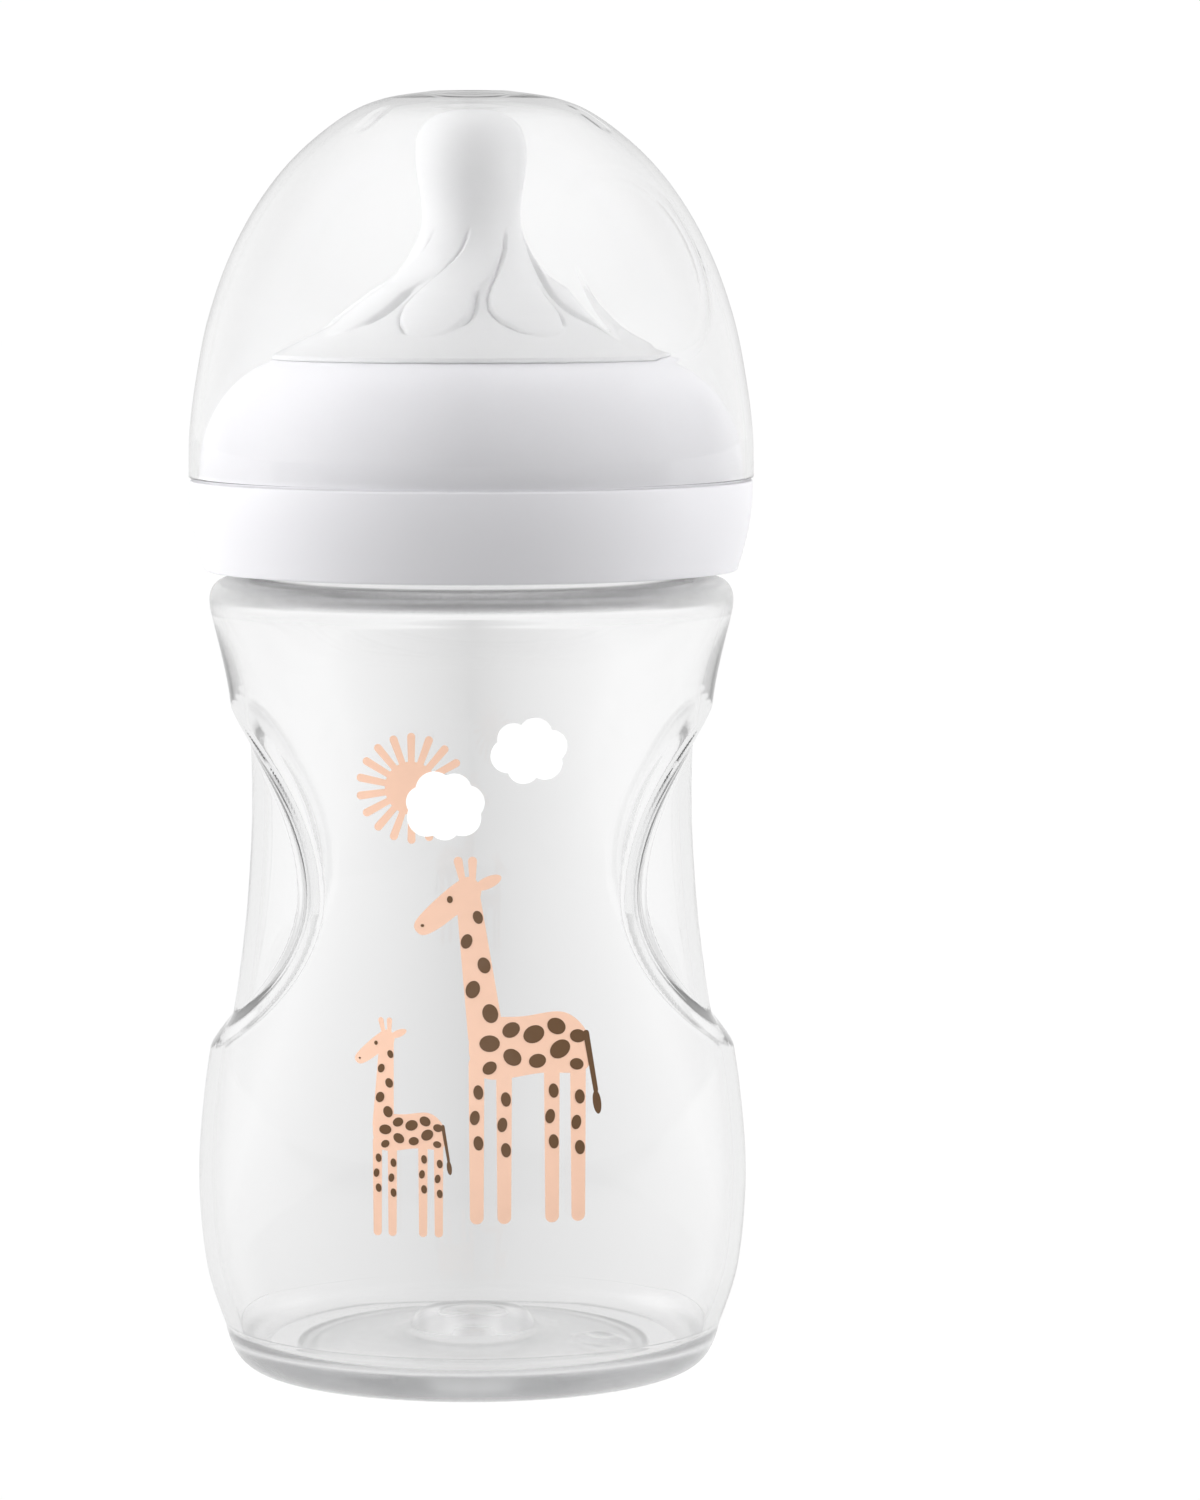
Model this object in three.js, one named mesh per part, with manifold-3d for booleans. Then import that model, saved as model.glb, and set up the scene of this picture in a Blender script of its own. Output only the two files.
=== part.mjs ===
// Baby bottle: a waisted clear bottle with a two-start neck thread, a one-piece silicone teat,
// a white screw ring that clamps the teat to the neck, and a clear dome cap that pulls off the ring.
// Millimetres, +Z up. The origin is the centre of the foot, on the surface that the bottle stands on.
// The decorated side faces -Y, and the two grip recesses face +X and -X.
import * as THREE from "three";
import { mergeVertices } from "three/addons/utils/BufferGeometryUtils.js";
import Module from "manifold-3d";

const wasm = await Module();
wasm.setup();

const TURN = 2 * Math.PI;
const DEGREE = Math.PI / 180;
const SEGMENTS = 40; // facets round every turned piece
const GAP = 0.3; // between pieces that touch

// Bottle
const FOOT_INNER = 22.6;
const FOOT_OUTER = 26.4;
const WALL = 1.7;
const FLOOR_Z = 4;
const SHOULDER_Z = 101.9;
const RIM_Z = 118.6;
const NECK_OUTER = 28.6;
const NECK_BORE = 26.6;
const SIDE_TOP_Z = 97.2;
const CORNER = 0.4; // bevel of the rim's two edges

// The push-up in the middle of the base, and the small button beside it
const PUSH_UP_RADIUS = 5.8;
const PUSH_UP_Z = 7.2;
const PUSH_UP_HOLLOW = { radius: 6.6, foot: 7.6, ceilingZ: 3.4, z: 1.9 }; // under the push-up
const BUTTON = { radius: 3.6, taper: 0.7, height: 1.9, sunk: 0.3, x: 16.4, y: -4 };

// Grip recesses: egg-shaped patches, lower than the wall round them, centred on +X and -X
const RECESS_DEPTH = 2.15;
const RECESS_HALF_ANGLE = 51 * DEGREE;
const RECESS_Z = 62;
const RECESS_ABOVE = 23.5;
const RECESS_BELOW = 20.5;
const RECESS_POWER = 1.85; // 2 would be an ellipse
const RECESS_FLOOR_SHARE = 0.78; // the floor's share of the patch; the rest is its sloping edge

// Thread: two starts on the neck, and two in the ring that lie under them
const LEAD = 12; // rise in a full turn
const STARTS = 2;
const THREAD_BITE = 0.5; // how deep a ridge is rooted in its wall
const THREAD_RUN_IN = 3; // steps over which a ridge grows to its full height
const NECK_THREAD = { crest: 30.3, rootWidth: 2.6, crestWidth: 1.2, sweep: 223 * DEGREE };
const NECK_THREAD_Z = 105.6;
const RING_THREAD = { crest: 29, rootWidth: 2.2, crestWidth: 1, sweep: 160 * DEGREE };
const RING_THREAD_DELAY = 44 * DEGREE;
const RING_THREAD_DROP = 1.85; // below the neck's ridge, which holds the ring down

// Ring
const RING_RADIUS = 36;
const RING_BOTTOM_Z = 102.8;
const LEDGE_Z = 114.3; // the cap stands here
const LEDGE_BEVEL = 0.25;
const RING_BORE = 30.75;
const RING_MOUTH = { inner: 31.4, outer: 33.7 }; // the lower edge, a little wider than the bore
const RING_DOME_FOOT = 34.75;
const RING_TOP_Z = 129.6;
const RING_TOP_RADIUS = 25.4;
const RING_HOLE = 24.6;
const CLAMP_RIB = { inner: 27.4, outer: 28.9 }; // presses the teat's flange down

// Teat
const TEAT_WALL = 1.7;
const TEAT_GROOVE = RING_HOLE - 0.4;
const TEAT_BEAD = 25.5;
const TEAT_TOP_Z = 162.2;
const FLANGE_RADIUS = 29.8;
const FLANGE_THICKNESS = 1.7;
const SKIRT_RADIUS = NECK_BORE - 0.4;
const SKIRT_INNER = 23.8;
const SKIRT_DROP = 1.8; // how far the skirt reaches into the neck
const FLOW_HOLE = 0.45;
const VENT = { radius: 0.7, at: 25, length: 10 };

// Cap
const CAP_WALL = 1.05;
const CAP_TOP_Z = 163.7;
const CAP_RIM_RADIUS = 36.1;
const CAP_FLAT = 5; // radius of the flat on top
const DIMPLE = { azimuth: -44 * DEGREE, z: 142, floor: 11.3, edge: 12.8, depth: 0.8 };
const DIMPLE_SLOPE = 0.4; // how fast the wall leans in there
const RIB = { count: 3, first: -140 * DEGREE, length: 4.5, width: 1.3, height: 1.6, at: 16, z: 158.9 };
const RIB_TILT = 35 * DEGREE;

const point = (x, y) => new THREE.Vector2(x, y);

/** Points along a smooth line through the given [radius, height] pairs. */
function smooth(pairs, steps) {
  return new THREE.SplineCurve(pairs.map(([x, y]) => point(x, y))).getPoints(steps);
}

/** Points along one cubic curve: its start, two control points and its end. */
function bend(start, first, second, end, steps = 4) {
  const [a, b, c, d] = [start, first, second, end].map(([x, y]) => point(x, y));
  return new THREE.CubicBezierCurve(a, b, c, d).getPoints(steps);
}

/** The same line moved to the left of its direction. */
function offset(line, distance) {
  return line.map((here, i) => {
    const next = line[Math.min(i + 1, line.length - 1)];
    const along = next.clone().sub(line[Math.max(i - 1, 0)]).normalize();
    return point(here.x - along.y * distance, here.y + along.x * distance);
  });
}

/** A solid turned about +Z. The outline holds Vector2(radius, height), anticlockwise. */
function turned(outline) {
  const closed = outline[0].x > 0 ? [...outline, outline[0]] : outline;
  return new THREE.LatheGeometry(closed, SEGMENTS).rotateX(Math.PI / 2);
}

/** Moves every vertex of a turned wall towards the axis by depth(azimuth, z, radius). */
function pressIn(geometry, depth) {
  const position = geometry.getAttribute("position");
  for (let i = 0; i < position.count; i++) {
    const [x, y, z] = [position.getX(i), position.getY(i), position.getZ(i)];
    const radius = Math.hypot(x, y);
    if (radius < FOOT_INNER / 4) continue;
    const share = 1 - depth(Math.atan2(y, x), z, radius) / radius;
    position.setXY(i, x * share, y * share);
  }
  return geometry;
}

/** A closed mesh as a manifold-3d solid. */
function solid(geometry) {
  const bare = new THREE.BufferGeometry().setAttribute("position", geometry.getAttribute("position"));
  const merged = mergeVertices(bare.setIndex(geometry.getIndex()), 1e-3);
  const vertProperties = new Float32Array(merged.getAttribute("position").array);
  const triVerts = new Uint32Array(merged.getIndex().array);
  return new wasm.Manifold(new wasm.Mesh({ numProp: 3, vertProperties, triVerts }));
}

/** A manifold-3d solid as a geometry. */
function geometryOf(made) {
  const { vertProperties, triVerts } = made.getMesh();
  const geometry = new THREE.BufferGeometry();
  geometry.setAttribute("position", new THREE.BufferAttribute(vertProperties, 3));
  geometry.setIndex(new THREE.BufferAttribute(triVerts, 1));
  geometry.computeVertexNormals();
  return geometry;
}

/** One helical ridge rooted in a wall of the given radius, growing in at both ends. */
function ridge(wallRadius, { crest, rootWidth, crestWidth, sweep }, startAngle, startZ) {
  const outward = Math.sign(crest - wallRadius);
  const root = wallRadius - outward * THREAD_BITE;
  const steps = Math.round((sweep / TURN) * SEGMENTS);
  const positions = [];
  for (let i = 0; i <= steps; i++) {
    const grown = Math.min(1, (i + 0.4) / THREAD_RUN_IN, (steps - i + 0.4) / THREAD_RUN_IN);
    const tip = THREE.MathUtils.lerp(wallRadius, crest, grown);
    const angle = startAngle + (sweep * i) / steps;
    const z = startZ + (LEAD * sweep * i) / steps / TURN;
    const section = [
      [root, -rootWidth / 2],
      [tip, -crestWidth / 2],
      [tip, crestWidth / 2],
      [root, rootWidth / 2],
    ];
    for (const [r, h] of section) positions.push(r * Math.cos(angle), r * Math.sin(angle), z + h);
  }
  const last = 4 * steps;
  const faces = [0, 1, 2, 0, 2, 3, last, last + 2, last + 1, last, last + 3, last + 2];
  for (let i = 0; i < steps; i++) {
    for (let k = 0; k < 4; k++) {
      const [a, b] = [4 * i + k, 4 * i + ((k + 1) % 4)];
      faces.push(a, a + 4, b, b, a + 4, b + 4);
    }
  }
  if (outward < 0) faces.reverse();
  const geometry = new THREE.BufferGeometry();
  geometry.setAttribute("position", new THREE.Float32BufferAttribute(positions, 3));
  return geometry.setIndex(faces);
}

/** A wall with both starts of a thread joined to it. */
function threaded(body, wallRadius, thread, firstAngle, z) {
  for (let start = 0; start < STARTS; start++) {
    body = body.add(solid(ridge(wallRadius, thread, firstAngle + (TURN * start) / STARTS, z)));
  }
  return body;
}

/** How far the grip recesses press the bottle's wall in. */
function recessDepth(azimuth, z) {
  const fromSide = Math.min(Math.abs(azimuth), Math.PI - Math.abs(azimuth)) / RECESS_HALF_ANGLE;
  const up = (z - RECESS_Z) / (z > RECESS_Z ? RECESS_ABOVE : RECESS_BELOW);
  const reach = (fromSide ** RECESS_POWER + Math.abs(up) ** RECESS_POWER) ** (1 / RECESS_POWER);
  return RECESS_DEPTH * (1 - THREE.MathUtils.smoothstep(reach, RECESS_FLOOR_SHARE, 1));
}

function bottleGeometry() {
  const side = smooth(
    [[31.9, 5.6], [34.3, 13.4], [35.25, 25], [34.35, 37], [32.3, 49.5], [30.95, 61], [30.35, 74],
      [31, 86.5], [33.3, SIDE_TOP_Z]],
    20,
  );
  const { radius, foot, ceilingZ, z } = PUSH_UP_HOLLOW;
  const underside = [point(0, ceilingZ), point(radius, ceilingZ), point(foot, z)];
  const outline = [
    ...underside,
    ...bend([19.5, 1.4], [21, 1.3], [22.2, 0.9], [FOOT_INNER, 0], 2),
    ...bend([FOOT_OUTER, 0], [29.6, 0], [31.1, 2], [31.9, 5.6], 4).slice(0, -1),
    ...side,
    ...bend([33.3, SIDE_TOP_Z], [33.9, 99.8], [33, SHOULDER_Z], [30.4, SHOULDER_Z], 4).slice(1),
    point(NECK_OUTER, SHOULDER_Z + 0.5),
    point(NECK_OUTER, RIM_Z - CORNER),
    point(NECK_OUTER - CORNER, RIM_Z),
    point(NECK_BORE + CORNER, RIM_Z),
    point(NECK_BORE, RIM_Z - CORNER),
    ...bend([NECK_BORE, 103.2], [NECK_BORE, 101], [27.4, 100.6], [29.4, 100.5], 3),
    ...bend([30.6, 100.4], [31.7, 100.2], [32, 99], [31.6, SIDE_TOP_Z], 3).slice(0, -1),
    ...offset(side, WALL).reverse().slice(0, -1),
    ...bend([30.1, 6.4], [29.8, 4.6], [28.6, FLOOR_Z], [27, FLOOR_Z], 3),
    ...bend([11, 4.5], [8.4, 4.6], [8.4, PUSH_UP_Z], [PUSH_UP_RADIUS, PUSH_UP_Z], 4),
    point(0, PUSH_UP_Z),
  ];
  const wall = pressIn(turned(outline), recessDepth);
  const buttonTop = BUTTON.radius - BUTTON.taper;
  const buttonZ = FLOOR_Z + BUTTON.height / 2 - BUTTON.sunk;
  const button = new THREE.CylinderGeometry(buttonTop, BUTTON.radius, BUTTON.height, SEGMENTS / 2);
  button.rotateX(Math.PI / 2).translate(BUTTON.x, BUTTON.y, buttonZ);
  const body = solid(wall).add(solid(button));
  return geometryOf(threaded(body, NECK_OUTER, NECK_THREAD, 0, NECK_THREAD_Z));
}

function teatGeometry() {
  const flangeZ = RIM_Z + GAP;
  const flangeTopZ = flangeZ + FLANGE_THICKNESS;
  const beadZ = RING_TOP_Z + GAP;
  const outside = smooth(
    [[TEAT_BEAD, beadZ + 0.5], [18.1, 134.3], [11.8, 138.6], [7.9, 142.6], [6.3, 147.3],
      [6.75, 151.8], [7.07, 155.4], [6.2, 159.1], [3.4, 161.5], [FLOW_HOLE, TEAT_TOP_Z]],
    16,
  );
  const inside = offset(outside, TEAT_WALL).reverse();
  inside[0].x = FLOW_HOLE;
  const outline = [
    point(SKIRT_INNER, flangeZ - SKIRT_DROP),
    point(SKIRT_RADIUS - 0.3, flangeZ - SKIRT_DROP),
    point(SKIRT_RADIUS, flangeZ),
    point(FLANGE_RADIUS, flangeZ),
    point(FLANGE_RADIUS, flangeTopZ),
    ...bend([26.8, flangeTopZ], [25.4, flangeTopZ], [TEAT_GROOVE, 121.8], [TEAT_GROOVE, 123.4], 3),
    point(TEAT_GROOVE, beadZ),
    point(TEAT_BEAD, beadZ),
    ...outside,
    ...inside.slice(0, -1),
    point(TEAT_GROOVE - TEAT_WALL, 128),
    point(TEAT_GROOVE - TEAT_WALL, 123),
    point(SKIRT_INNER, flangeTopZ),
  ];
  const vent = new THREE.CylinderGeometry(VENT.radius, VENT.radius, VENT.length, 10);
  vent.rotateX(Math.PI / 2).translate(0, VENT.at, flangeZ);
  return geometryOf(solid(turned(outline)).subtract(solid(vent)));
}

function ringGeometry() {
  const band = bend([34.1, 103.1], [35, 105.9], [RING_RADIUS, 109.5], [RING_RADIUS, 113.2], 4);
  const domeFoot = [RING_DOME_FOOT, LEDGE_Z];
  const dome = bend(domeFoot, [RING_DOME_FOOT, 121], [31.6, 127], [RING_TOP_RADIUS, 129.4], 7);
  const clampZ = RIM_Z + GAP + FLANGE_THICKNESS + GAP;
  const outline = [
    point(RING_MOUTH.inner, RING_BOTTOM_Z),
    point(RING_MOUTH.outer, RING_BOTTOM_Z),
    ...band,
    point(RING_RADIUS, LEDGE_Z - LEDGE_BEVEL),
    point(RING_RADIUS - LEDGE_BEVEL, LEDGE_Z),
    ...dome,
    point(RING_TOP_RADIUS - 0.4, RING_TOP_Z),
    point(RING_HOLE, RING_TOP_Z - 0.3),
    point(RING_HOLE, 127.4),
    point(CLAMP_RIB.inner, 126.2),
    point(CLAMP_RIB.inner, clampZ),
    point(CLAMP_RIB.outer, clampZ),
    ...bend([CLAMP_RIB.outer, 125.2], [30.2, 123.8], [RING_BORE, 122], [RING_BORE, 120], 3),
    point(RING_BORE, RING_BOTTOM_Z + 0.65),
  ];
  const z = NECK_THREAD_Z - RING_THREAD_DROP + (LEAD * RING_THREAD_DELAY) / TURN;
  return geometryOf(threaded(solid(turned(outline)), RING_BORE, RING_THREAD, RING_THREAD_DELAY, z));
}

/** How far the round thumb dimple presses the cap's wall in. */
function dimpleDepth(azimuth, z, radius) {
  const across = (azimuth - DIMPLE.azimuth) * radius;
  const along = (z - DIMPLE.z) * Math.hypot(1, DIMPLE_SLOPE);
  const distance = Math.hypot(across, along);
  return DIMPLE.depth * (1 - THREE.MathUtils.smoothstep(distance, DIMPLE.floor, DIMPLE.edge));
}

/** A short rib inside the top of the cap. */
function capRib(azimuth) {
  const rib = new THREE.BoxGeometry(RIB.length, RIB.width, RIB.height).rotateY(RIB_TILT);
  return rib.translate(RIB.at, 0, RIB.z).rotateZ(azimuth);
}

function capGeometry() {
  const rimZ = LEDGE_Z + GAP;
  const outside = smooth(
    [[CAP_RIM_RADIUS, rimZ], [35.95, 120.8], [35.1, 127.2], [33.6, 134.6], [30.9, 142.4],
      [27.1, 149.5], [22.3, 155.5], [16.3, 160.4], [11.2, 162.7], [CAP_FLAT, CAP_TOP_Z]],
    18,
  );
  const inside = offset(outside, CAP_WALL).reverse();
  inside.at(-1).y = rimZ;
  const ceiling = point(0, CAP_TOP_Z - CAP_WALL);
  const outline = [...outside, point(0, CAP_TOP_Z), ceiling, ...inside];
  let cap = solid(pressIn(turned(outline), dimpleDepth));
  for (let i = 0; i < RIB.count; i++) {
    cap = cap.add(solid(capRib(RIB.first + (TURN * i) / RIB.count)));
  }
  return geometryOf(cap);
}

function piece(name, geometry, material) {
  const mesh = new THREE.Mesh(geometry, material);
  mesh.name = name;
  return mesh;
}

/** A clear or translucent material. */
function seeThrough(color, roughness, opacity) {
  const options = { color, roughness, opacity, transparent: true, side: THREE.DoubleSide };
  return new THREE.MeshStandardMaterial(options);
}

const bottlePlastic = seeThrough(0xe9eced, 0.08, 0.35);
const capPlastic = seeThrough(0xf2f4f5, 0.05, 0.25);
const silicone = seeThrough(0xdedede, 0.35, 0.8);
const ringPlastic = new THREE.MeshStandardMaterial({ color: 0xf1f0f4, roughness: 0.28 });

const babyBottle = new THREE.Group();
babyBottle.add(
  piece("bottle", bottleGeometry(), bottlePlastic),
  piece("teat", teatGeometry(), silicone),
  piece("screw_ring", ringGeometry(), ringPlastic),
  piece("dome_cap", capGeometry(), capPlastic),
);

export default babyBottle;
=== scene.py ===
"""The looks of the baby bottle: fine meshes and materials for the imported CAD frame.

Sizes are in millimetres, in the row frame: +Z up, the decorated side towards -Y. The moulded pieces are
turned outlines whose surfaces are then shaped by formulas. The print is thin film laid on the bottle's front.
"""

import math

import bpy
import numpy as np
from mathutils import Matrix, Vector
from mathutils.geometry import delaunay_2d_cdt


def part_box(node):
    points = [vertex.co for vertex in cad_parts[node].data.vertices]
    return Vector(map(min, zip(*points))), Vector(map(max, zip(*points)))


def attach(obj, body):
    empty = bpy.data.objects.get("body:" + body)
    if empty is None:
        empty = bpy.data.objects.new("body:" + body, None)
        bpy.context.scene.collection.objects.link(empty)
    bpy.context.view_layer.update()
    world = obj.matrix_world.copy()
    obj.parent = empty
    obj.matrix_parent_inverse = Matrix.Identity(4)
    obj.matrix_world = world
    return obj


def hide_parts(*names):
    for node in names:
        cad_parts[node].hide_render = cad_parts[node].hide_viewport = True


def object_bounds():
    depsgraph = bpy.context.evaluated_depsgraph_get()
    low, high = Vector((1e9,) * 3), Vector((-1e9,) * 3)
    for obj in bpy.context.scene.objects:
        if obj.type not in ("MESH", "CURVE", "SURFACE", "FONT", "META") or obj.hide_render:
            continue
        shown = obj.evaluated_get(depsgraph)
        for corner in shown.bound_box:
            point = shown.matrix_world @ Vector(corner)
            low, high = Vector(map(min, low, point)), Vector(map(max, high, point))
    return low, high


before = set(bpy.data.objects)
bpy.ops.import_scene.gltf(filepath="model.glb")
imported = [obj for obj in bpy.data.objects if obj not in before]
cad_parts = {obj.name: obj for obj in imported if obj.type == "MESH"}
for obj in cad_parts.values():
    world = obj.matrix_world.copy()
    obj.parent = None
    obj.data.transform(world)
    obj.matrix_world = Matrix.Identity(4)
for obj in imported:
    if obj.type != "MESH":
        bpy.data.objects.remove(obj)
cad_low, cad_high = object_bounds()

MM = 0.001
TURN = 2 * math.pi


def span(node):
    """The lowest and highest corner of a CAD node, in millimetres."""
    low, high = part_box(node)
    return Vector(low) / MM, Vector(high) / MM


# ---------------------------------------------------------------- driving dimensions

RIM_Z = span("bottle")[1].z
RING_BOTTOM_Z = span("screw_ring")[0].z
RING_TOP_Z = span("screw_ring")[1].z
RING_RADIUS = span("screw_ring")[1].x
TEAT_TOP_Z = span("teat")[1].z
FLANGE_RADIUS = span("teat")[1].x
CAP_RIM_Z = span("dome_cap")[0].z
CAP_TOP_Z = span("dome_cap")[1].z
CAP_RADIUS = span("dome_cap")[1].x

# Bottle
BOTTLE_WALL = 1.7
SIDE = [(31.9, 5.6), (34.3, 13.4), (35.25, 25), (34.35, 37), (32.3, 49.5), (30.95, 61), (30.35, 74),
        (31, 86.5), (33.3, 97.2)]
NECK_RADIUS = 28.6
NECK_BORE = 26.6
SHOULDER_Z = 101.9
SHOULDER_THINNING = 0.55

# Grip recesses, centred on +X and -X
RECESS_DEPTH = 2.15
RECESS_HALF_ANGLE = math.radians(51)
RECESS_Z = 62
RECESS_ABOVE = 23.5
RECESS_BELOW = 20.5
RECESS_POWER = 1.85
RECESS_FLOOR_SHARE = 0.8

# The button beside the push-up, a low dome with a hollow in its middle
BUTTON = {"x": 16.4, "y": -4, "height": 0.6, "flat": 1.8, "radius": 4.0}
BUTTON_HOLLOW = {"depth": 0.2, "flat": 0.5, "radius": 2.0}

# Thread
LEAD = 12
STARTS = 2
NECK_THREAD = {"z": 105.6, "first": 0, "sweep": math.radians(223), "height": 1.7, "root": 2.6, "crest": 1.2}
RING_THREAD_DELAY = math.radians(44)
RING_THREAD = {
    "z": NECK_THREAD["z"] - 1.85 + LEAD * RING_THREAD_DELAY / TURN,
    "first": RING_THREAD_DELAY,
    "sweep": math.radians(160),
    "height": 1.75,
    "root": 2.2,
    "crest": 1.0,
}

# Teat
PETALS = 8
PETAL_STEP = TURN / PETALS
# A petal's left and right edges, in degrees round from the front, at these heights
PETAL_Z = [132.7, 133.2, 134.2, 135.2, 136.2, 137.6, 139.0, 141.2, 143.6, 146.5]
PETAL_LEFT = [-18, -25, -30.5, -34.5, -36.5, -35.5, -31.5, -21.5, -9.5, -1]
PETAL_RIGHT = [-16, -9, -3.5, 0, 1.8, 3.0, 7.5, 23.5, 35.5, 44]
PETAL_HEIGHT = [0.0, 0.3, 0.75, 0.95, 1.0, 0.95, 0.75, 0.5, 0.28, 0.0]
PETAL_LEFT_EDGE = 0.45
PETAL_RIGHT_EDGE = 0.6
GROOVE = {"depth": 0.28, "width": 0.2}  # along a petal's left edge
HOOK = {"share": 1.8, "width": 0.3}  # the deeper groove at its right edge, low down

# Cap
CAP_WALL = 1.05
DIMPLE = {"azimuth": math.radians(-44), "z": 142, "floor": 11.0, "edge": 13.1, "depth": 0.24}
DIMPLE_LEAN = 0.4  # how fast the wall leans in there
LUG = {"z": 159.3, "half_length": 0.9, "flat": 0.5, "radius": 1.9, "height": 0.05}
LUGS = 3
FIRST_LUG = math.radians(-140)

# Print: how far the ink lies off the wall, for the first layer and for what lies on it
FILM_SPACING = 0.8
FILM_THICKNESS = 0.035
FIRST_LAYER = 0.015
SECOND_LAYER = 0.06

# The bottle's satin foot and shoulder: what they add to the roughness, where they begin, and their fade
SATIN = 0.21
SATIN_SHOULDER_Z = 98.2
SATIN_SHOULDER_FADE = 2
SATIN_FOOT_Z = 6.5
SATIN_FOOT_FADE = 3

# Studio light, as a share of the white background: what is mirrored, and the soft light on matt pieces
LIGHT_FRONT = {"mirrored": 0.35, "soft": 0.0}
LIGHT_LEFT = {"mirrored": 1.0, "soft": 10.6}
LIGHT_RIGHT = {"mirrored": 0.9, "soft": 7.6}
LIGHT_BEHIND = {"mirrored": 0.85, "soft": 0.9}
LIGHT_ABOVE = {"mirrored": 1.0, "soft": 2.2}
SIDE_POWER = 8.0  # how narrow the soft light from each side is
WORLD_SEEN = 1.01  # seen straight or through clear pieces, as the next one is
FLOOR_SEEN = 1.03
FLOOR_ALBEDO = 0.3
FLOOR_GLOW = 0.97
FLOOR_MIRRORED = 0.85
# Painted shade: where the floor is seen mirrored, it is painted darker in front of the bottle
FLOOR_FADE = 0.5  # metres in front of the bottle over which the mirrored floor dims
# Painted shade: a grey stripe along the floor's middle, seen only through clear pieces, that greys the middle
# of the clear bottle
FLOOR_PAINTED_SHADE_STRIPE = {"dimming": 0.26, "half_width": 0.056}


# ---------------------------------------------------------------- outlines


def spline(points, count):
    """Points along a smooth line through the given ones."""
    p = np.array(points, float)
    last = len(p) - 1
    t = np.linspace(0, last, count)
    i = np.minimum(t.astype(int), last - 1)
    w = (t - i)[:, None]
    before, here, there, beyond = p[np.maximum(i - 1, 0)], p[i], p[i + 1], p[np.minimum(i + 2, last)]
    a, b = (there - before) / 2, (beyond - here) / 2
    return (2 * here - 2 * there + a + b) * w**3 + (3 * there - 3 * here - 2 * a - b) * w**2 + a * w + here


def bend(a, b, c, d, count=24):
    """Points along one cubic curve from a to d."""
    a, b, c, d = (np.array(p, float) for p in (a, b, c, d))
    t = np.linspace(0, 1, count)[:, None]
    return a * (1 - t) ** 3 + 3 * b * t * (1 - t) ** 2 + 3 * c * t**2 * (1 - t) + d * t**3


def offset(line, distance):
    """The line moved to the left of its direction, by one distance or by one for each point."""
    along = np.gradient(line, axis=0)
    along /= np.linalg.norm(along, axis=1)[:, None]
    return line + np.stack([-along[:, 1], along[:, 0]], axis=1) * np.reshape(distance, (-1, 1))


def corner(r, z, radius=0.0):
    return [(r, z, radius)]


def outline(*parts, step=0.6, closed=True):
    """One line from curves and corners: corners are rounded by their radius, and long stretches cut up."""
    rows = []
    for part in parts:
        rows += [(p[0], p[1], p[2] if len(p) > 2 else 0.0) for p in part]
    points = []
    for k, (r, z, radius) in enumerate(rows):
        here = np.array([r, z])
        if radius <= 0:
            points.append(here)
            continue
        before = np.array(rows[k - 1][:2]) - here
        after = np.array(rows[(k + 1) % len(rows)][:2]) - here
        before /= np.linalg.norm(before)
        after /= np.linalg.norm(after)
        half = math.acos(np.clip(before @ after, -1, 1)) / 2
        reach = radius / math.tan(half)
        centre = here + (before + after) / np.linalg.norm(before + after) * radius / math.sin(half)
        first, final = here + before * reach - centre, here + after * reach - centre
        turn = math.pi - 2 * half
        for t in np.linspace(0, 1, 7):
            arm = math.sin((1 - t) * turn) * first + math.sin(t * turn) * final
            points.append(centre + arm / math.sin(turn))
    if closed:
        points.append(points[0])
    fine = [points[0]]
    for a, b in zip(points, points[1:]):
        length = np.linalg.norm(b - a)
        if length < 1e-6:
            continue
        cuts = max(1, math.ceil(length / step))
        fine += [a + (b - a) * (c + 1) / cuts for c in range(cuts)]
    return np.array(fine[:-1] if closed else fine)


def smoothstep(x, low, high):
    t = np.clip((x - low) / (high - low), 0, 1)
    return t * t * (3 - 2 * t)


# ---------------------------------------------------------------- meshes


def new_object(name, vertices, faces, material, body, crease=38):
    """A smooth mesh, with its vertices given in millimetres, on a CAD body."""
    mesh = bpy.data.meshes.new(name)
    mesh.from_pydata((np.asarray(vertices) * MM).tolist(), [], faces)
    mesh.validate()
    mesh.shade_smooth()
    mesh.set_sharp_from_angle(angle=math.radians(crease))
    mesh.materials.append(material)
    piece = bpy.data.objects.new(name, mesh)
    bpy.context.scene.collection.objects.link(piece)
    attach(piece, body)
    return piece


def turned(line, segments, shape=None):
    """Vertices and faces of an outline turned about +Z. shape(azimuth, r, z, normal) moves the surface."""
    on_axis = line[:, 0] < 1e-6
    following, previous = np.roll(line, -1, axis=0), np.roll(line, 1, axis=0)
    if on_axis.any():
        following[-1], previous[0] = line[-1], line[0]
    along = following - previous
    along /= np.linalg.norm(along, axis=1)[:, None]
    normal = np.stack([along[:, 1], -along[:, 0]], axis=1)
    azimuth = np.linspace(-math.pi, math.pi, segments, endpoint=False)[None, :]
    r = np.repeat(line[:, :1], segments, axis=1)
    z = np.repeat(line[:, 1:], segments, axis=1)
    if shape:
        r, z = shape(azimuth, r, z, normal)
    grid = np.stack([r * np.cos(azimuth), r * np.sin(azimuth), z], axis=2)
    vertices, index = [], np.zeros((len(line), segments), int)
    for row, pole in enumerate(on_axis):
        index[row] = len(vertices) + (0 if pole else np.arange(segments))
        vertices += [(0, 0, z[row, 0])] if pole else grid[row].tolist()
    faces = []
    rows = len(line) if not on_axis.any() else len(line) - 1
    for row in range(rows):
        low, high = index[row], index[(row + 1) % len(line)]
        for j in range(segments):
            k = (j + 1) % segments
            quad = [low[j], low[k], high[k], high[j]]
            faces.append([int(v) for n, v in enumerate(quad) if v != quad[n - 1]])
    return vertices, faces


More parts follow.
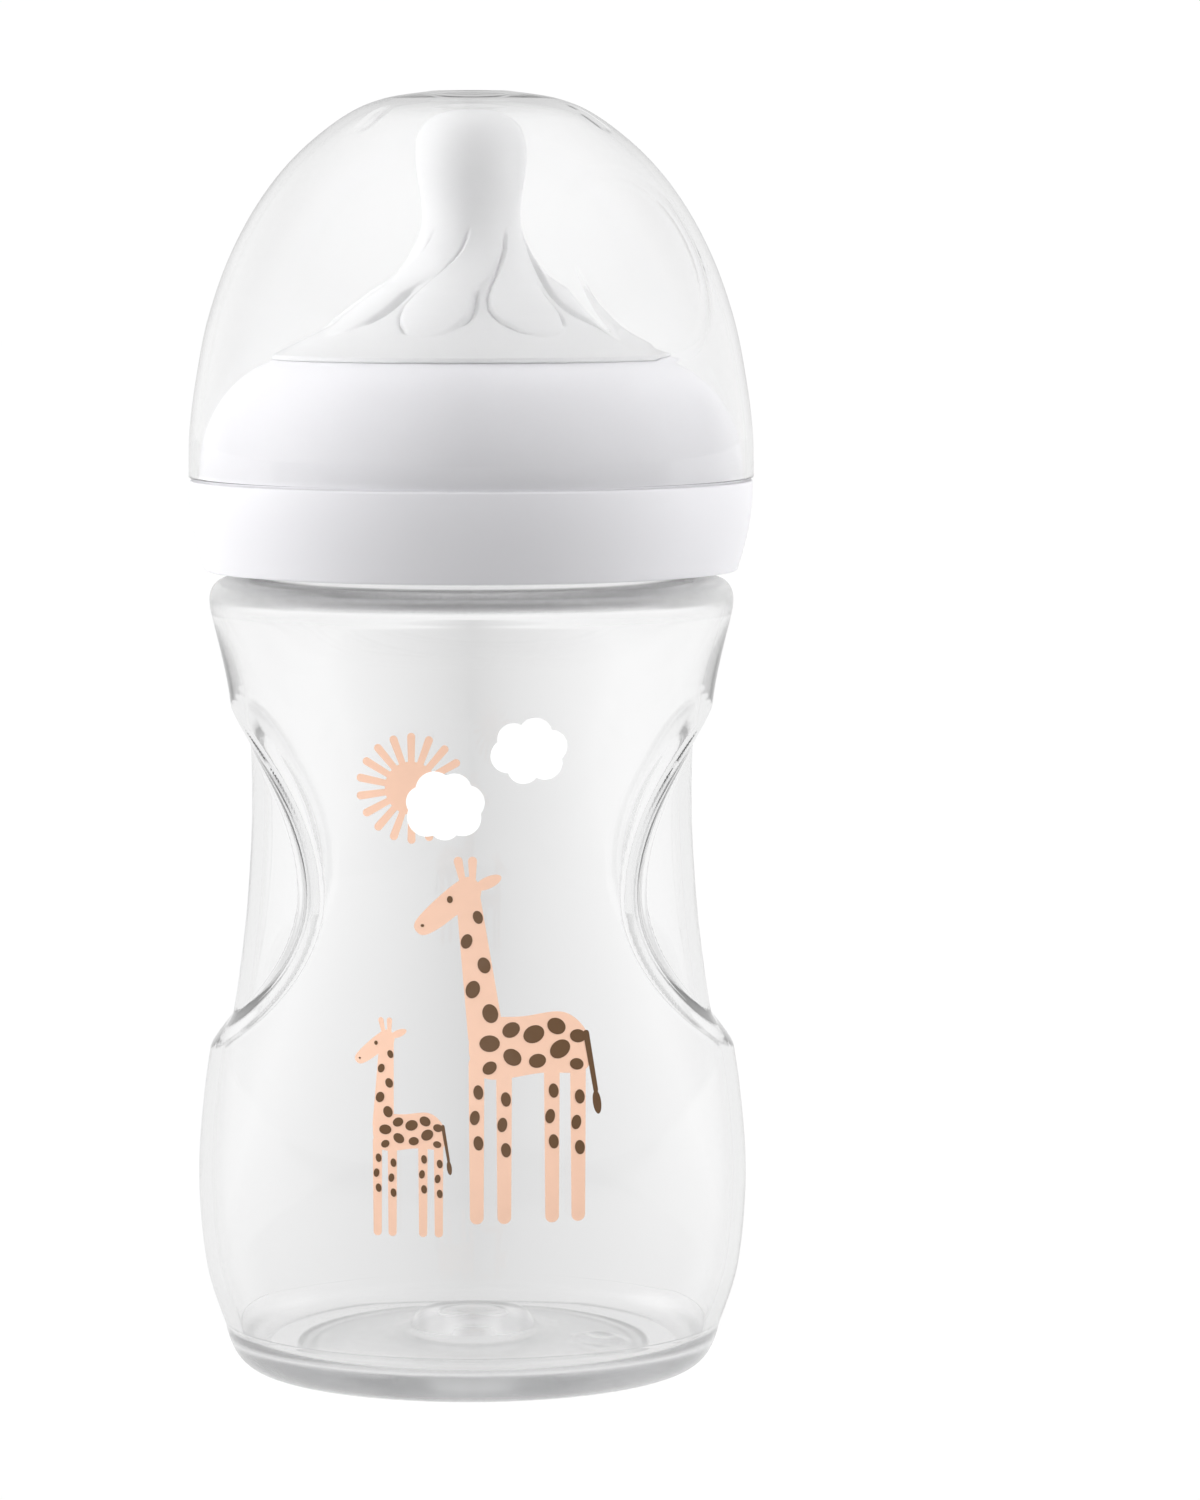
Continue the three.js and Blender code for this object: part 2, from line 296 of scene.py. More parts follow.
def thread(azimuth, z, form):
    """How much of a thread's full height the surface has at each point, from 0 to 1."""
    share = np.zeros(np.broadcast_shapes(azimuth.shape, z.shape))
    run_in = math.radians(24)
    for start in range(STARTS):
        along = np.mod(azimuth - form["first"] - TURN * start / STARTS, TURN)
        grown = smoothstep(along, 0, run_in) * smoothstep(form["sweep"] - along, 0, run_in)
        off = np.abs(z - form["z"] - LEAD * along / TURN)
        section = 1 - smoothstep(off, form["crest"] / 2, form["root"] / 2)
        share = np.maximum(share, np.where(along < form["sweep"], grown * section, 0))
    return share


# ---------------------------------------------------------------- materials


def maths(tree, operation, first, second=None, clamp=False):
    """One sum in a node tree: each of its two terms is a number or another node's output."""
    node = tree.nodes.new("ShaderNodeMath")
    node.operation = operation
    node.use_clamp = clamp
    for socket, term in zip(node.inputs, (first, second)):
        if isinstance(term, (int, float)):
            socket.default_value = term
        elif term is not None:
            tree.links.new(term, socket)
    return node.outputs["Value"]


def ease(tree, value, low, high):
    """A smooth step from 0 to 1 as a value goes from low to high."""
    node = tree.nodes.new("ShaderNodeMapRange")
    node.interpolation_type = "SMOOTHSTEP"
    node.inputs["From Min"].default_value = low
    node.inputs["From Max"].default_value = high
    tree.links.new(value, node.inputs["Value"])
    return node.outputs["Result"]


def new_material(name, colour, **sockets):
    """A node material with these constant numbers on its shader."""
    material = bpy.data.materials.new(name)
    material.use_nodes = True
    shader = material.node_tree.nodes["Principled BSDF"]
    shader.inputs["Base Color"].default_value = (*colour, 1)
    for socket, value in sockets.items():
        shader.inputs[socket.replace("_", " ")].default_value = value
    return material, shader


def add_noise(material, scale, detail=3.0, stretch=(1, 1, 1)):
    """A noise texture in the piece's own space, and its output."""
    tree = material.node_tree
    place = tree.nodes.new("ShaderNodeTexCoord")
    mapping = tree.nodes.new("ShaderNodeMapping")
    mapping.inputs["Scale"].default_value = stretch
    noise = tree.nodes.new("ShaderNodeTexNoise")
    noise.inputs["Scale"].default_value = scale
    noise.inputs["Detail"].default_value = detail
    tree.links.new(place.outputs["Object"], mapping.inputs["Vector"])
    tree.links.new(mapping.outputs["Vector"], noise.inputs["Vector"])
    return noise.outputs["Fac"]


def vary(material, shader, socket, source, low, high):
    """Lets a noise move a number between low and high."""
    ranged = material.node_tree.nodes.new("ShaderNodeMapRange")
    ranged.inputs["From Min"].default_value = 0.3
    ranged.inputs["From Max"].default_value = 0.7
    ranged.inputs["To Min"].default_value = low
    ranged.inputs["To Max"].default_value = high
    material.node_tree.links.new(source, ranged.inputs["Value"])
    material.node_tree.links.new(ranged.outputs["Result"], shader.inputs[socket])


def tint(material, shader, source, first, second):
    """Lets a noise move the colour between two near shades."""
    tree = material.node_tree
    ramp = tree.nodes.new("ShaderNodeValToRGB")
    ramp.color_ramp.elements[0].position = 0.35
    ramp.color_ramp.elements[1].position = 0.65
    ramp.color_ramp.elements[0].color = (*first, 1)
    ramp.color_ramp.elements[1].color = (*second, 1)
    tree.links.new(source, ramp.inputs["Fac"])
    tree.links.new(ramp.outputs["Color"], shader.inputs["Base Color"])


def bump(material, shader, source, strength, distance):
    tree = material.node_tree
    node = tree.nodes.new("ShaderNodeBump")
    node.inputs["Strength"].default_value = strength
    node.inputs["Distance"].default_value = distance * MM
    tree.links.new(source, node.inputs["Height"])
    tree.links.new(node.outputs["Normal"], shader.inputs["Normal"])


def absorb(material, colour, density):
    """Greys the light by its path through the plastic: density is per metre."""
    tree = material.node_tree
    volume = tree.nodes.new("ShaderNodeVolumeAbsorption")
    volume.inputs["Color"].default_value = (*colour, 1)
    volume.inputs["Density"].default_value = density
    tree.links.new(volume.outputs["Volume"], tree.nodes["Material Output"].inputs["Volume"])


def add_satin(material, shader):
    """Roughens the bottle's foot and shoulder."""
    tree = material.node_tree
    place = tree.nodes.new("ShaderNodeTexCoord")
    axes = tree.nodes.new("ShaderNodeSeparateXYZ")
    tree.links.new(place.outputs["Object"], axes.inputs["Vector"])
    z = axes.outputs["Z"]
    shoulder = ease(tree, z, SATIN_SHOULDER_Z * MM, (SATIN_SHOULDER_Z + SATIN_SHOULDER_FADE) * MM)
    foot = ease(tree, z, SATIN_FOOT_Z * MM, (SATIN_FOOT_Z - SATIN_FOOT_FADE) * MM)
    satin = maths(tree, "MULTIPLY", maths(tree, "ADD", shoulder, foot), SATIN)
    polished = shader.inputs["Roughness"].links[0].from_socket
    tree.links.new(maths(tree, "ADD", polished, satin), shader.inputs["Roughness"])


def clear_plastic(name, density, waviness):
    material, shader = new_material(name, (1, 1, 1), Transmission_Weight=1.0, IOR=1.49)
    vary(material, shader, "Roughness", add_noise(material, 90), 0.0, 0.045)
    bump(material, shader, add_noise(material, 45, 1.0, (1, 1, 0.4)), waviness, 0.5)
    absorb(material, (0.5, 0.505, 0.515), density)
    return material, shader


def silicone_rubber():
    material, shader = new_material(
        "silicone", (0.95, 0.95, 0.955), Transmission_Weight=0.4, IOR=1.41
    )
    vary(material, shader, "Roughness", add_noise(material, 160), 0.29, 0.34)
    bump(material, shader, add_noise(material, 300, 1.0), 0.03, 0.1)
    absorb(material, (0.5, 0.5, 0.51), 12)
    return material


def white_plastic():
    material, shader = new_material(
        "white_plastic", (0.86, 0.855, 0.885), IOR=1.5, Coat_Weight=0.15, Coat_Roughness=0.05
    )
    tint(material, shader, add_noise(material, 40), (0.85, 0.845, 0.875), (0.87, 0.865, 0.895))
    vary(material, shader, "Roughness", add_noise(material, 220), 0.29, 0.33)
    bump(material, shader, add_noise(material, 300, 1.0), 0.02, 0.05)
    return material


def ink(name, colour):
    material, shader = new_material(name, colour, IOR=1.45)
    lighter = tuple(min(1, c * 1.01) for c in colour)
    darker = tuple(c * 0.99 for c in colour)
    tint(material, shader, add_noise(material, 700, 4.0), darker, lighter)
    vary(material, shader, "Roughness", add_noise(material, 500), 0.5, 0.62)
    bump(material, shader, add_noise(material, 2500, 3.0), 0.08, 0.02)
    return material


# ---------------------------------------------------------------- bottle

side = spline(SIDE, 150)


def recess_depth(azimuth, z):
    from_side = np.minimum(np.abs(azimuth), math.pi - np.abs(azimuth)) / RECESS_HALF_ANGLE
    up = np.abs(z - RECESS_Z) / np.where(z > RECESS_Z, RECESS_ABOVE, RECESS_BELOW)
    reach = (from_side**RECESS_POWER + up**RECESS_POWER) ** (1 / RECESS_POWER)
    ramp = np.clip((1 - reach) / (1 - RECESS_FLOOR_SHARE), 0, 1)
    return RECESS_DEPTH * (0.5 * ramp + 0.5 * smoothstep(ramp, 0, 1))


def bottle_surface(azimuth, r, z, normal):
    on_wall = (r > 24) & (z > 30) & (z < 95)
    pressed = r - np.where(on_wall, recess_depth(azimuth, z), 0)
    on_neck = (normal[:, :1] > 0.5) & (z > SHOULDER_Z) & (z < RIM_Z - 1)
    pressed = pressed + np.where(on_neck, NECK_THREAD["height"] * thread(azimuth, z, NECK_THREAD), 0)
    on_floor = (normal[:, 1:] > 0.5) & (z < 8) & (r > 8)
    apart = np.hypot(r * np.cos(azimuth) - BUTTON["x"], r * np.sin(azimuth) - BUTTON["y"])
    dome = BUTTON["height"] * (1 - smoothstep(apart, BUTTON["flat"], BUTTON["radius"]))
    hollow = BUTTON_HOLLOW["depth"] * (1 - smoothstep(apart, BUTTON_HOLLOW["flat"], BUTTON_HOLLOW["radius"]))
    return pressed, z + np.where(on_floor, dome - hollow, 0)


def make_bottle(material):
    line = outline(
        corner(0, 5.3),
        bend((3.4, 5.3), (5.2, 5.3), (6.2, 3.2), (9.0, 2.9), 14),
        bend((13, 2.4), (17, 1.9), (20.4, 1.6), (22.8, 0), 20),
        bend((26.4, 0), (29.6, 0), (31.1, 2), (31.9, 5.6), 16)[:-1],
        side,
        bend((33.3, 97.2), (33.95, 99.8), (33.3, SHOULDER_Z - 0.1), (30.6, SHOULDER_Z), 20)[1:],
        corner(NECK_RADIUS, SHOULDER_Z + 0.1, 0.5),
        corner(NECK_RADIUS, RIM_Z, 0.5),
        corner(NECK_BORE, RIM_Z, 0.5),
        bend((NECK_BORE, 103.4), (NECK_BORE, 101.6), (27.0, 100.75), (28.8, 100.75), 12),
        bend((30.4, 100.7), (31.9, 100.5), (32.6, 99.2), (32.1, 97.2), 16)[:-1],
        offset(side, BOTTLE_WALL - SHOULDER_THINNING * smoothstep(side[:, 1], 80, 97.2))[::-1][:-1],
        bend((30.1, 6.4), (29.8, 4.6), (28.8, 4), (27, 3.9), 12),
        bend((20, 3.7), (14, 3.9), (11.5, 4.3), (10.0, 4.6), 14),
        bend((8.2, 5.0), (7.2, 7.2), (5.6, 7.2), (4.6, 7.2), 16),
        corner(0, 7.2),
        step=0.5,
        closed=False,
    )
    vertices, faces = turned(line, 360, bottle_surface)
    piece = new_object("bottle_body", vertices, faces, material, "bottle")
    piece.visible_shadow = False
    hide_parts("bottle")


# ---------------------------------------------------------------- screw ring


def ring_surface(azimuth, r, z, normal):
    in_bore = (normal[:, :1] < -0.5) & (z < 113)
    return r - np.where(in_bore, RING_THREAD["height"] * thread(azimuth, z, RING_THREAD), 0), z


def make_ring(material):
    ledge_z = CAP_RIM_Z - 0.3
    clamp_z = RIM_Z + 2.3
    line = outline(
        corner(31.5, RING_BOTTOM_Z, 0.4),
        corner(34.0, RING_BOTTOM_Z, 0.25),
        bend((34.15, 103.2), (35, 105.9), (RING_RADIUS, 109.5), (RING_RADIUS, 113), 24),
        corner(RING_RADIUS, ledge_z, 0.3),
        corner(34.75, ledge_z, 0.15),
        bend((34.75, 115), (34.75, 121.1), (31.7, 127), (25.9, 129.2), 48),
        corner(25.2, RING_TOP_Z, 0.25),
        corner(24.6, RING_TOP_Z, 0.2),
        corner(24.6, 127.4, 0.3),
        corner(27.4, 126.3, 0.4),
        corner(27.4, clamp_z, 0.3),
        corner(28.9, clamp_z, 0.3),
        bend((28.9, 125.0), (29.9, 124.2), (30.75, 122.4), (30.75, 120), 12),
        corner(30.75, RING_BOTTOM_Z + 0.6, 0.3),
        step=0.5,
    )
    vertices, faces = turned(line, 320, ring_surface)
    piece = new_object("threaded_ring", vertices, faces, material, "ring")
    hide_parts("screw_ring")


# ---------------------------------------------------------------- teat


def petal_relief(azimuth, r, z):
    """Height of the petals: each has a crisp left edge, and low down a crisp right edge too."""
    from_front = azimuth + math.pi / 2
    left = np.radians(np.interp(z, PETAL_Z, PETAL_LEFT))
    width = np.radians(np.interp(z, PETAL_Z, PETAL_RIGHT)) - left
    across = np.mod(from_front - left, PETAL_STEP)
    from_left, from_right = across * r, (width - across) * r
    place = np.clip(across / np.maximum(width, 1e-3), 0, 1)
    pillow = np.sqrt(np.clip(1 - (2 * place - 1) ** 2, 0, 1))
    saw = (1 - place) ** 1.2
    low_down = 1 - smoothstep(z, 137.5, 141)
    body = low_down * pillow + (1 - low_down) * saw
    edges = smoothstep(from_left, 0, PETAL_LEFT_EDGE) * smoothstep(from_right, 0, PETAL_RIGHT_EDGE)
    height = np.interp(z, PETAL_Z, PETAL_HEIGHT)
    to_next = (PETAL_STEP - across) * r
    groove = np.exp(-((from_left / GROOVE["width"]) ** 2)) + np.exp(-((to_next / GROOVE["width"]) ** 2))
    hook = smoothstep(z, 133.8, 134.8) * (1 - smoothstep(z, 137.4, 138.6))
    groove = groove + HOOK["share"] * hook * np.exp(-((from_right / HOOK["width"]) ** 2))
    grown = smoothstep(z, 132.8, 133.6) * (1 - smoothstep(z, 144.5, 146.5))
    return height * body * edges - GROOVE["depth"] * groove * grown


def teat_surface(azimuth, r, z, normal):
    outside = (normal[:, 1:] > 0) & (z > PETAL_Z[0]) & (z < PETAL_Z[-1])
    relief = np.where(outside, petal_relief(azimuth, r, z), 0)
    return r + relief * normal[:, :1], z + relief * normal[:, 1:]


def make_teat(material):
    flange_z = RIM_Z + 0.3
    flange_top_z = flange_z + 1.7
    bead_z = RING_TOP_Z + 0.04
    groove, wall = 24.2, 1.7
    outside = spline(
        [(25.4, bead_z + 0.55), (22.2, 131.8), (18.0, 133.9), (14.6, 136), (11.7, 138.2), (9.2, 140.6),
         (7.5, 143), (6.55, 145.6), (6.25, 148.2), (6.5, 150.8), (6.9, 153.2), (7.07, 155.2), (6.95, 157.2),
         (6.3, 159.1), (5.0, 160.5), (2.9, 161.7), (0.45, TEAT_TOP_Z)],
        150,
    )
    inside = offset(outside, wall)[::-1]
    inside[:, 0] = np.maximum(inside[:, 0], 0.45)
    line = outline(
        corner(23.8, flange_z - 1.8, 0.3),
        corner(26.1, flange_z - 1.8, 0.3),
        corner(26.2, flange_z, 0.2),
        corner(FLANGE_RADIUS, flange_z, 0.35),
        corner(FLANGE_RADIUS, flange_top_z, 0.35),
        bend((26.8, flange_top_z), (25.4, flange_top_z), (groove, 121.8), (groove, 123.4), 12),
        corner(groove, bead_z, 0.15),
        corner(25.5, bead_z, 0.2),
        outside[1:],
        inside[:-4],
        corner(groove - wall, 128, 0.8),
        corner(groove - wall, 123, 0.8),
        corner(23.8, flange_top_z, 0.5),
        step=0.3,
    )
    vertices, faces = turned(line, 512, teat_surface)
    piece = new_object("silicone_teat", vertices, faces, material, "teat")
    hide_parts("teat")


# ---------------------------------------------------------------- cap


def cap_surface(azimuth, r, z, normal):
    across = (azimuth - DIMPLE["azimuth"]) * r
    along = (z - DIMPLE["z"]) * math.hypot(1, DIMPLE_LEAN)
    apart = np.hypot(across, along)
    pressed = r - DIMPLE["depth"] * (1 - smoothstep(apart, DIMPLE["floor"], DIMPLE["edge"]))
    inner = normal[:, 1:] < 0
    for k in range(LUGS):
        off = np.mod(azimuth - FIRST_LUG - TURN * k / LUGS + math.pi, TURN) - math.pi
        past = np.maximum(np.abs(z - LUG["z"]) * 1.5 - LUG["half_length"], 0)
        near = np.hypot(off * r, past)
        lug = np.where(inner, LUG["height"] * (1 - smoothstep(near, LUG["flat"], LUG["radius"])), 0)
        pressed, z = pressed + lug * normal[:, :1], z + lug * normal[:, 1:]
    return pressed, z


def make_cap(material):
    outside = spline(
        [(CAP_RADIUS, CAP_RIM_Z + 0.4), (35.95, 120.8), (35.1, 127.2), (33.6, 134.6), (30.9, 142.4),
         (27.1, 149.5), (22.3, 155.5), (16.3, 160.4), (11.2, 162.7), (5, CAP_TOP_Z)],
        140,
    )
    inside = offset(outside, CAP_WALL)[::-1]
    line = outline(
        corner(CAP_RADIUS, CAP_RIM_Z, 0.25),
        outside,
        corner(0, CAP_TOP_Z),
        corner(0, CAP_TOP_Z - CAP_WALL),
        inside[:-1],
        corner(CAP_RADIUS - CAP_WALL, CAP_RIM_Z, 0.25),
        step=0.4,
    )
    vertices, faces = turned(line, 512, cap_surface)
    piece = new_object("clear_dome_cap", vertices, faces, material, "cap")
    piece.visible_shadow = False
    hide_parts("dome_cap")


# ---------------------------------------------------------------- print


def ellipse(x, z, half_width, half_height, tilt=0.0, count=28):
    a = np.linspace(0, TURN, count, endpoint=False)
    u, v = half_width * np.cos(a), half_height * np.sin(a)
    c, s = math.cos(math.radians(tilt)), math.sin(math.radians(tilt))
    return np.stack([x + u * c - v * s, z + u * s + v * c], axis=1)


def limb(start, end, first, last):
    """A stroke with round ends, first and last being its half-widths."""
    start, end = np.array(start, float), np.array(end, float)
    heading = math.atan2(*(end - start)[::-1])
    back = np.linspace(heading + math.pi / 2, heading + 3 * math.pi / 2, 12)
    ahead = np.linspace(heading - math.pi / 2, heading + math.pi / 2, 12)
    near = start + first * np.stack([np.cos(back), np.sin(back)], axis=1)
    far = end + last * np.stack([np.cos(ahead), np.sin(ahead)], axis=1)
    return np.concatenate([near, far])


def blob(points, count=72):
    """A smooth closed outline through the given points."""
    ring = list(points) * 3
    per_point = max(3, count // len(points))
    line = spline(ring, len(points) * 3 * per_point)
    return line[len(points) * per_point : 2 * len(points) * per_point]


def refined(loop):
    """The loop run anticlockwise, with points close enough together to follow the bottle's curve."""
    x, z = np.array(loop).T
    turning = np.sum(x * np.roll(z, -1) - np.roll(x, -1) * z)
    run = np.array(loop if turning > 0 else loop[::-1])
    points = []
    for a, b in zip(run, np.roll(run, -1, axis=0)):
        cuts = max(1, math.ceil(np.linalg.norm(b - a) / FILM_SPACING))
        points += [a + (b - a) * c / cuts for c in range(cuts)]
    return points


def film(name, shapes, level, material, keep=None):
    """Ink on the bottle's front: the union of flat shapes, cut to those in keep, wrapped and closed."""
    loops = [refined(loop) for loop in list(shapes) + list(keep or [])]
    points = [Vector(p) for loop in loops for p in loop]
    starts = np.cumsum([0] + [len(loop) for loop in loops])
    rings = [list(range(a, b)) for a, b in zip(starts, starts[1:])]
    low = np.min([np.min(loop, axis=0) for loop in shapes], axis=0)
    high = np.max([np.max(loop, axis=0) for loop in shapes], axis=0)
    for x in np.arange(low[0], high[0], FILM_SPACING):
        points += [Vector((x, z)) for z in np.arange(low[1], high[1], FILM_SPACING)]
    flat, _, triangles, _, _, origins = delaunay_2d_cdt(points, [], rings, 1, 1e-5)
    kept = []
    for triangle, origin in zip(triangles, origins):
        inked = any(o < len(shapes) for o in origin)
        allowed = keep is None or any(o >= len(shapes) for o in origin)
        if inked and allowed:
            kept.append(triangle)
    used = sorted({v for triangle in kept for v in triangle})
    renumber = {v: n for n, v in enumerate(used)}
    kept = [[renumber[v] for v in triangle] for triangle in kept]
    flat = np.array([flat[v] for v in used])
    order = np.argsort(side[:, 1])
    radius = np.interp(flat[:, 1], side[order, 1], side[order, 0])

    def wrapped(height):
        depth = np.sqrt((radius + height) ** 2 - flat[:, 0] ** 2)
        return np.stack([flat[:, 0], -depth, flat[:, 1]], axis=1)

    vertices = np.concatenate([wrapped(level + FILM_THICKNESS), wrapped(level)])
    count = len(flat)
    faces = []
    edges = set()
    for a, b, c in kept:
        faces.append([a, b, c])
        faces.append([c + count, b + count, a + count])
        edges |= {(a, b), (b, c), (c, a)}
    faces += [[b, a, a + count, b + count] for a, b in edges if (b, a) not in edges]
    return new_object(name, vertices, faces, material, "bottle", crease=60)


def sun(centre, disc, rays, reach, half_width):
    shapes = [ellipse(*centre, disc, disc, count=48)]
    for k in range(rays):
        a = TURN * (k + 0.5) / rays
        way = np.array([math.cos(a), math.sin(a)])
        shapes.append(limb(centre + way * disc * 0.8, centre + way * reach, half_width * 0.8, half_width))
    return shapes


def cloud(x, z, width, height, puffs):
    shapes = [ellipse(x, z, width * 0.38, height * 0.36)]
    for k in range(puffs):
        a = TURN * (k + 0.25) / puffs
        size = height * (0.25 + 0.025 * math.cos(3 * a + 1))
        shapes.append(ellipse(x + width * 0.28 * math.cos(a), z + height * 0.25 * math.sin(a), size, size))
    return shapes


def giraffe(x, z, size, legs, leg_width, lean):
    """Body, neck, head, ears, horns, tail and legs of a giraffe that looks to the left, in strokes.

    x and z are the middle of its trunk, and size is half of the trunk's length.
    """
    def at(u, v):
        return np.array([x + u * size, z + v * size])

    trunk = blob([at(-1, -0.1), at(-0.85, 0.45), at(-0.1, 0.52), at(0.6, 0.56), at(1, 0.15),
                  at(0.95, -0.4), at(0.2, -0.42), at(-0.7, -0.5)])
    withers, crown = at(-0.72, 0.2), at(-0.72 - lean, 2.55)
    muzzle = crown + size * np.array([-0.78, -0.5])
    shapes = [trunk, limb(withers, crown, 0.3 * size, 0.2 * size)]
    head = blob([crown + size * np.array(p) for p in
                 ((0.22, 0.12), (0.02, 0.3), (-0.28, 0.14), (-0.72, -0.26), (-0.9, -0.52), (-0.76, -0.68),
                  (-0.48, -0.56), (-0.1, -0.28), (0.16, -0.16))])
    shapes.append(head)
    shapes.append(limb(crown + size * np.array([-0.08, 0.2]), crown + size * np.array([-0.16, 0.56]),
                       0.05 * size, 0.075 * size))
    shapes.append(limb(crown + size * np.array([0.08, 0.2]), crown + size * np.array([0.08, 0.56]),
                       0.05 * size, 0.075 * size))
    shapes.append(ellipse(*(crown + size * np.array([0.34, 0.2])), 0.24 * size, 0.1 * size, 24))
    for u in legs:
        foot = at(u, -2.8)
        shapes.append(limb(at(u, -0.25), foot, leg_width * size * 1.15, leg_width * size))
    tail = limb(at(0.96, 0.2), at(1.12, -0.75), 0.05 * size, 0.04 * size)
    tuft = ellipse(*at(1.14, -0.95), 0.07 * size, 0.2 * size, 8)
    eye = ellipse(*(crown + size * np.array([-0.3, -0.08])), 0.05 * size, 0.06 * size)
    nostril = ellipse(*(muzzle + size * np.array([0.02, -0.02])), 0.03 * size, 0.025 * size)
    spots = []
    for k, (u, v, w) in enumerate(
        ((-0.66, 0.08, 0.19), (-0.3, 0.3, 0.17), (-0.28, -0.15, 0.18), (0.08, 0.22, 0.2), (0.14, -0.22, 0.16),
         (0.46, 0.34, 0.18), (0.52, -0.04, 0.2), (0.82, 0.16, 0.15), (0.8, -0.3, 0.13), (-0.66, -0.32, 0.14))
    ):
        spots.append(ellipse(*at(u, v), w * size * 0.9, w * size * 0.72, 35 * math.sin(2.3 * k)))
    for k in range(5):
        t = 0.16 + 0.17 * k
        middle = withers + (crown - withers) * t + size * np.array([0.12 * (-1) ** k, 0])
        spots.append(ellipse(*middle, (0.13 - 0.012 * k) * size, (0.16 - 0.012 * k) * size, 20 * (-1) ** k))
    for k, u in enumerate(legs):
        for n in range(3):
            spots.append(ellipse(*at(u + 0.03 * (-1) ** n, -0.72 - 0.42 * n - 0.12 * (k % 2)),
                                 leg_width * size * 0.72, 0.12 * size, 8 * (-1) ** n))
    return shapes, spots, [tail, tuft, eye, nostril]


def make_print(peach, brown, white):
    """Sun, clouds and two giraffes, in three inks. The later layers lie on the earlier ones."""
    cow, spots, marks = giraffe(7.0, 45.4, 7.4, (-0.88, -0.42, 0.38, 0.82), 0.115, 0.3)
    calf, calf_spots, calf_marks = giraffe(-7.9, 35.0, 4.4, (-0.88, -0.46, 0.4, 0.84), 0.115, -0.1)
    return [
        film("print_sun", sun((-7.5, 77.4), 3.3, 18, 6.4, 0.5), FIRST_LAYER, peach),
        film("print_cloud_low", cloud(-3.4, 75.2, 10.2, 8.8, 7), SECOND_LAYER, white),
        film("print_cloud_high", cloud(7.1, 82.0, 9.9, 8.4, 6), FIRST_LAYER, white),
        film("print_giraffe", cow, FIRST_LAYER, peach),
        film("print_giraffe_spots", spots, SECOND_LAYER, brown, keep=cow),
        film("print_giraffe_marks", marks, SECOND_LAYER, brown),
        film("print_calf", calf, FIRST_LAYER, peach),
        film("print_calf_spots", calf_spots, SECOND_LAYER, brown, keep=calf),
        film("print_calf_marks", calf_marks, SECOND_LAYER, brown),
    ]


# ---------------------------------------------------------------- studio


def light_path(tree):
    """The path node, and switches for light bounced off something matt, mirrored, and seen straight."""
    path = tree.nodes.new("ShaderNodeLightPath")
    matt = maths(tree, "MINIMUM", path.outputs["Diffuse Depth"], 1.0)
    mirrored = maths(tree, "MINIMUM", path.outputs["Glossy Depth"], 1.0)
    straight = maths(tree, "ADD", path.outputs["Is Camera Ray"], path.outputs["Is Transmission Ray"], True)
    return path, matt, mirrored, straight


def make_floor():
    """A pale floor, with a soft grey stripe of painted shade that only shows through clear pieces and greys
    the middle of the clear bottle.
    """
    mesh = bpy.data.meshes.new("studio_floor")
    reach = 6
    corners = [(-reach, -reach, 0), (reach, -reach, 0), (reach, reach, 0), (-reach, reach, 0)]
    mesh.from_pydata(corners, [], [[0, 1, 2, 3]])
    material = bpy.data.materials.new("studio_floor")
    material.use_nodes = True
    tree = material.node_tree
    tree.nodes.remove(tree.nodes["Principled BSDF"])
    diffuse = tree.nodes.new("ShaderNodeBsdfDiffuse")
    diffuse.inputs["Color"].default_value = (FLOOR_ALBEDO, FLOOR_ALBEDO, FLOOR_ALBEDO, 1)
    glow = tree.nodes.new("ShaderNodeEmission")
    path, matt, mirrored, _ = light_path(tree)
    place = tree.nodes.new("ShaderNodeTexCoord")
    axes = tree.nodes.new("ShaderNodeSeparateXYZ")
    tree.links.new(place.outputs["Object"], axes.inputs["Vector"])
    off_middle = maths(tree, "ABSOLUTE", axes.outputs["X"])
    aside = maths(tree, "DIVIDE", off_middle, FLOOR_PAINTED_SHADE_STRIPE["half_width"], True)
    # Painted shade: the floor is greyer near its middle line, only where it is seen through clear pieces
    painted_shade_stripe = maths(tree, "MULTIPLY", maths(tree, "SUBTRACT", 1.0, aside), FLOOR_PAINTED_SHADE_STRIPE["dimming"])
    through = maths(tree, "MULTIPLY", painted_shade_stripe, path.outputs["Is Transmission Ray"])
    tree.links.new(maths(tree, "SUBTRACT", FLOOR_SEEN, through), glow.inputs["Strength"])
    mix = tree.nodes.new("ShaderNodeMixShader")
    clear = maths(tree, "SUBTRACT", 1.0, matt, True)
    # Painted shade: seen mirrored, the floor dims towards the front, down to the front light's mirrored share
    near = maths(tree, "MULTIPLY", ease(tree, axes.outputs["Y"], -FLOOR_FADE, 0.0), FLOOR_MIRRORED)
    near = maths(tree, "MAXIMUM", near, LIGHT_FRONT["mirrored"])
    loss = maths(tree, "MULTIPLY", mirrored, maths(tree, "SUBTRACT", 1.0, near))
    kept = maths(tree, "SUBTRACT", 1.0, loss)
    share = maths(tree, "MULTIPLY", maths(tree, "MULTIPLY", clear, kept), FLOOR_GLOW)
    tree.links.new(share, mix.inputs["Fac"])
    tree.links.new(diffuse.outputs["BSDF"], mix.inputs[1])
    tree.links.new(glow.outputs["Emission"], mix.inputs[2])
    tree.links.new(mix.outputs["Shader"], tree.nodes["Material Output"].inputs["Surface"])
    mesh.materials.append(material)
    floor = bpy.data.objects.new("studio_floor", mesh)
    bpy.context.scene.collection.objects.link(floor)


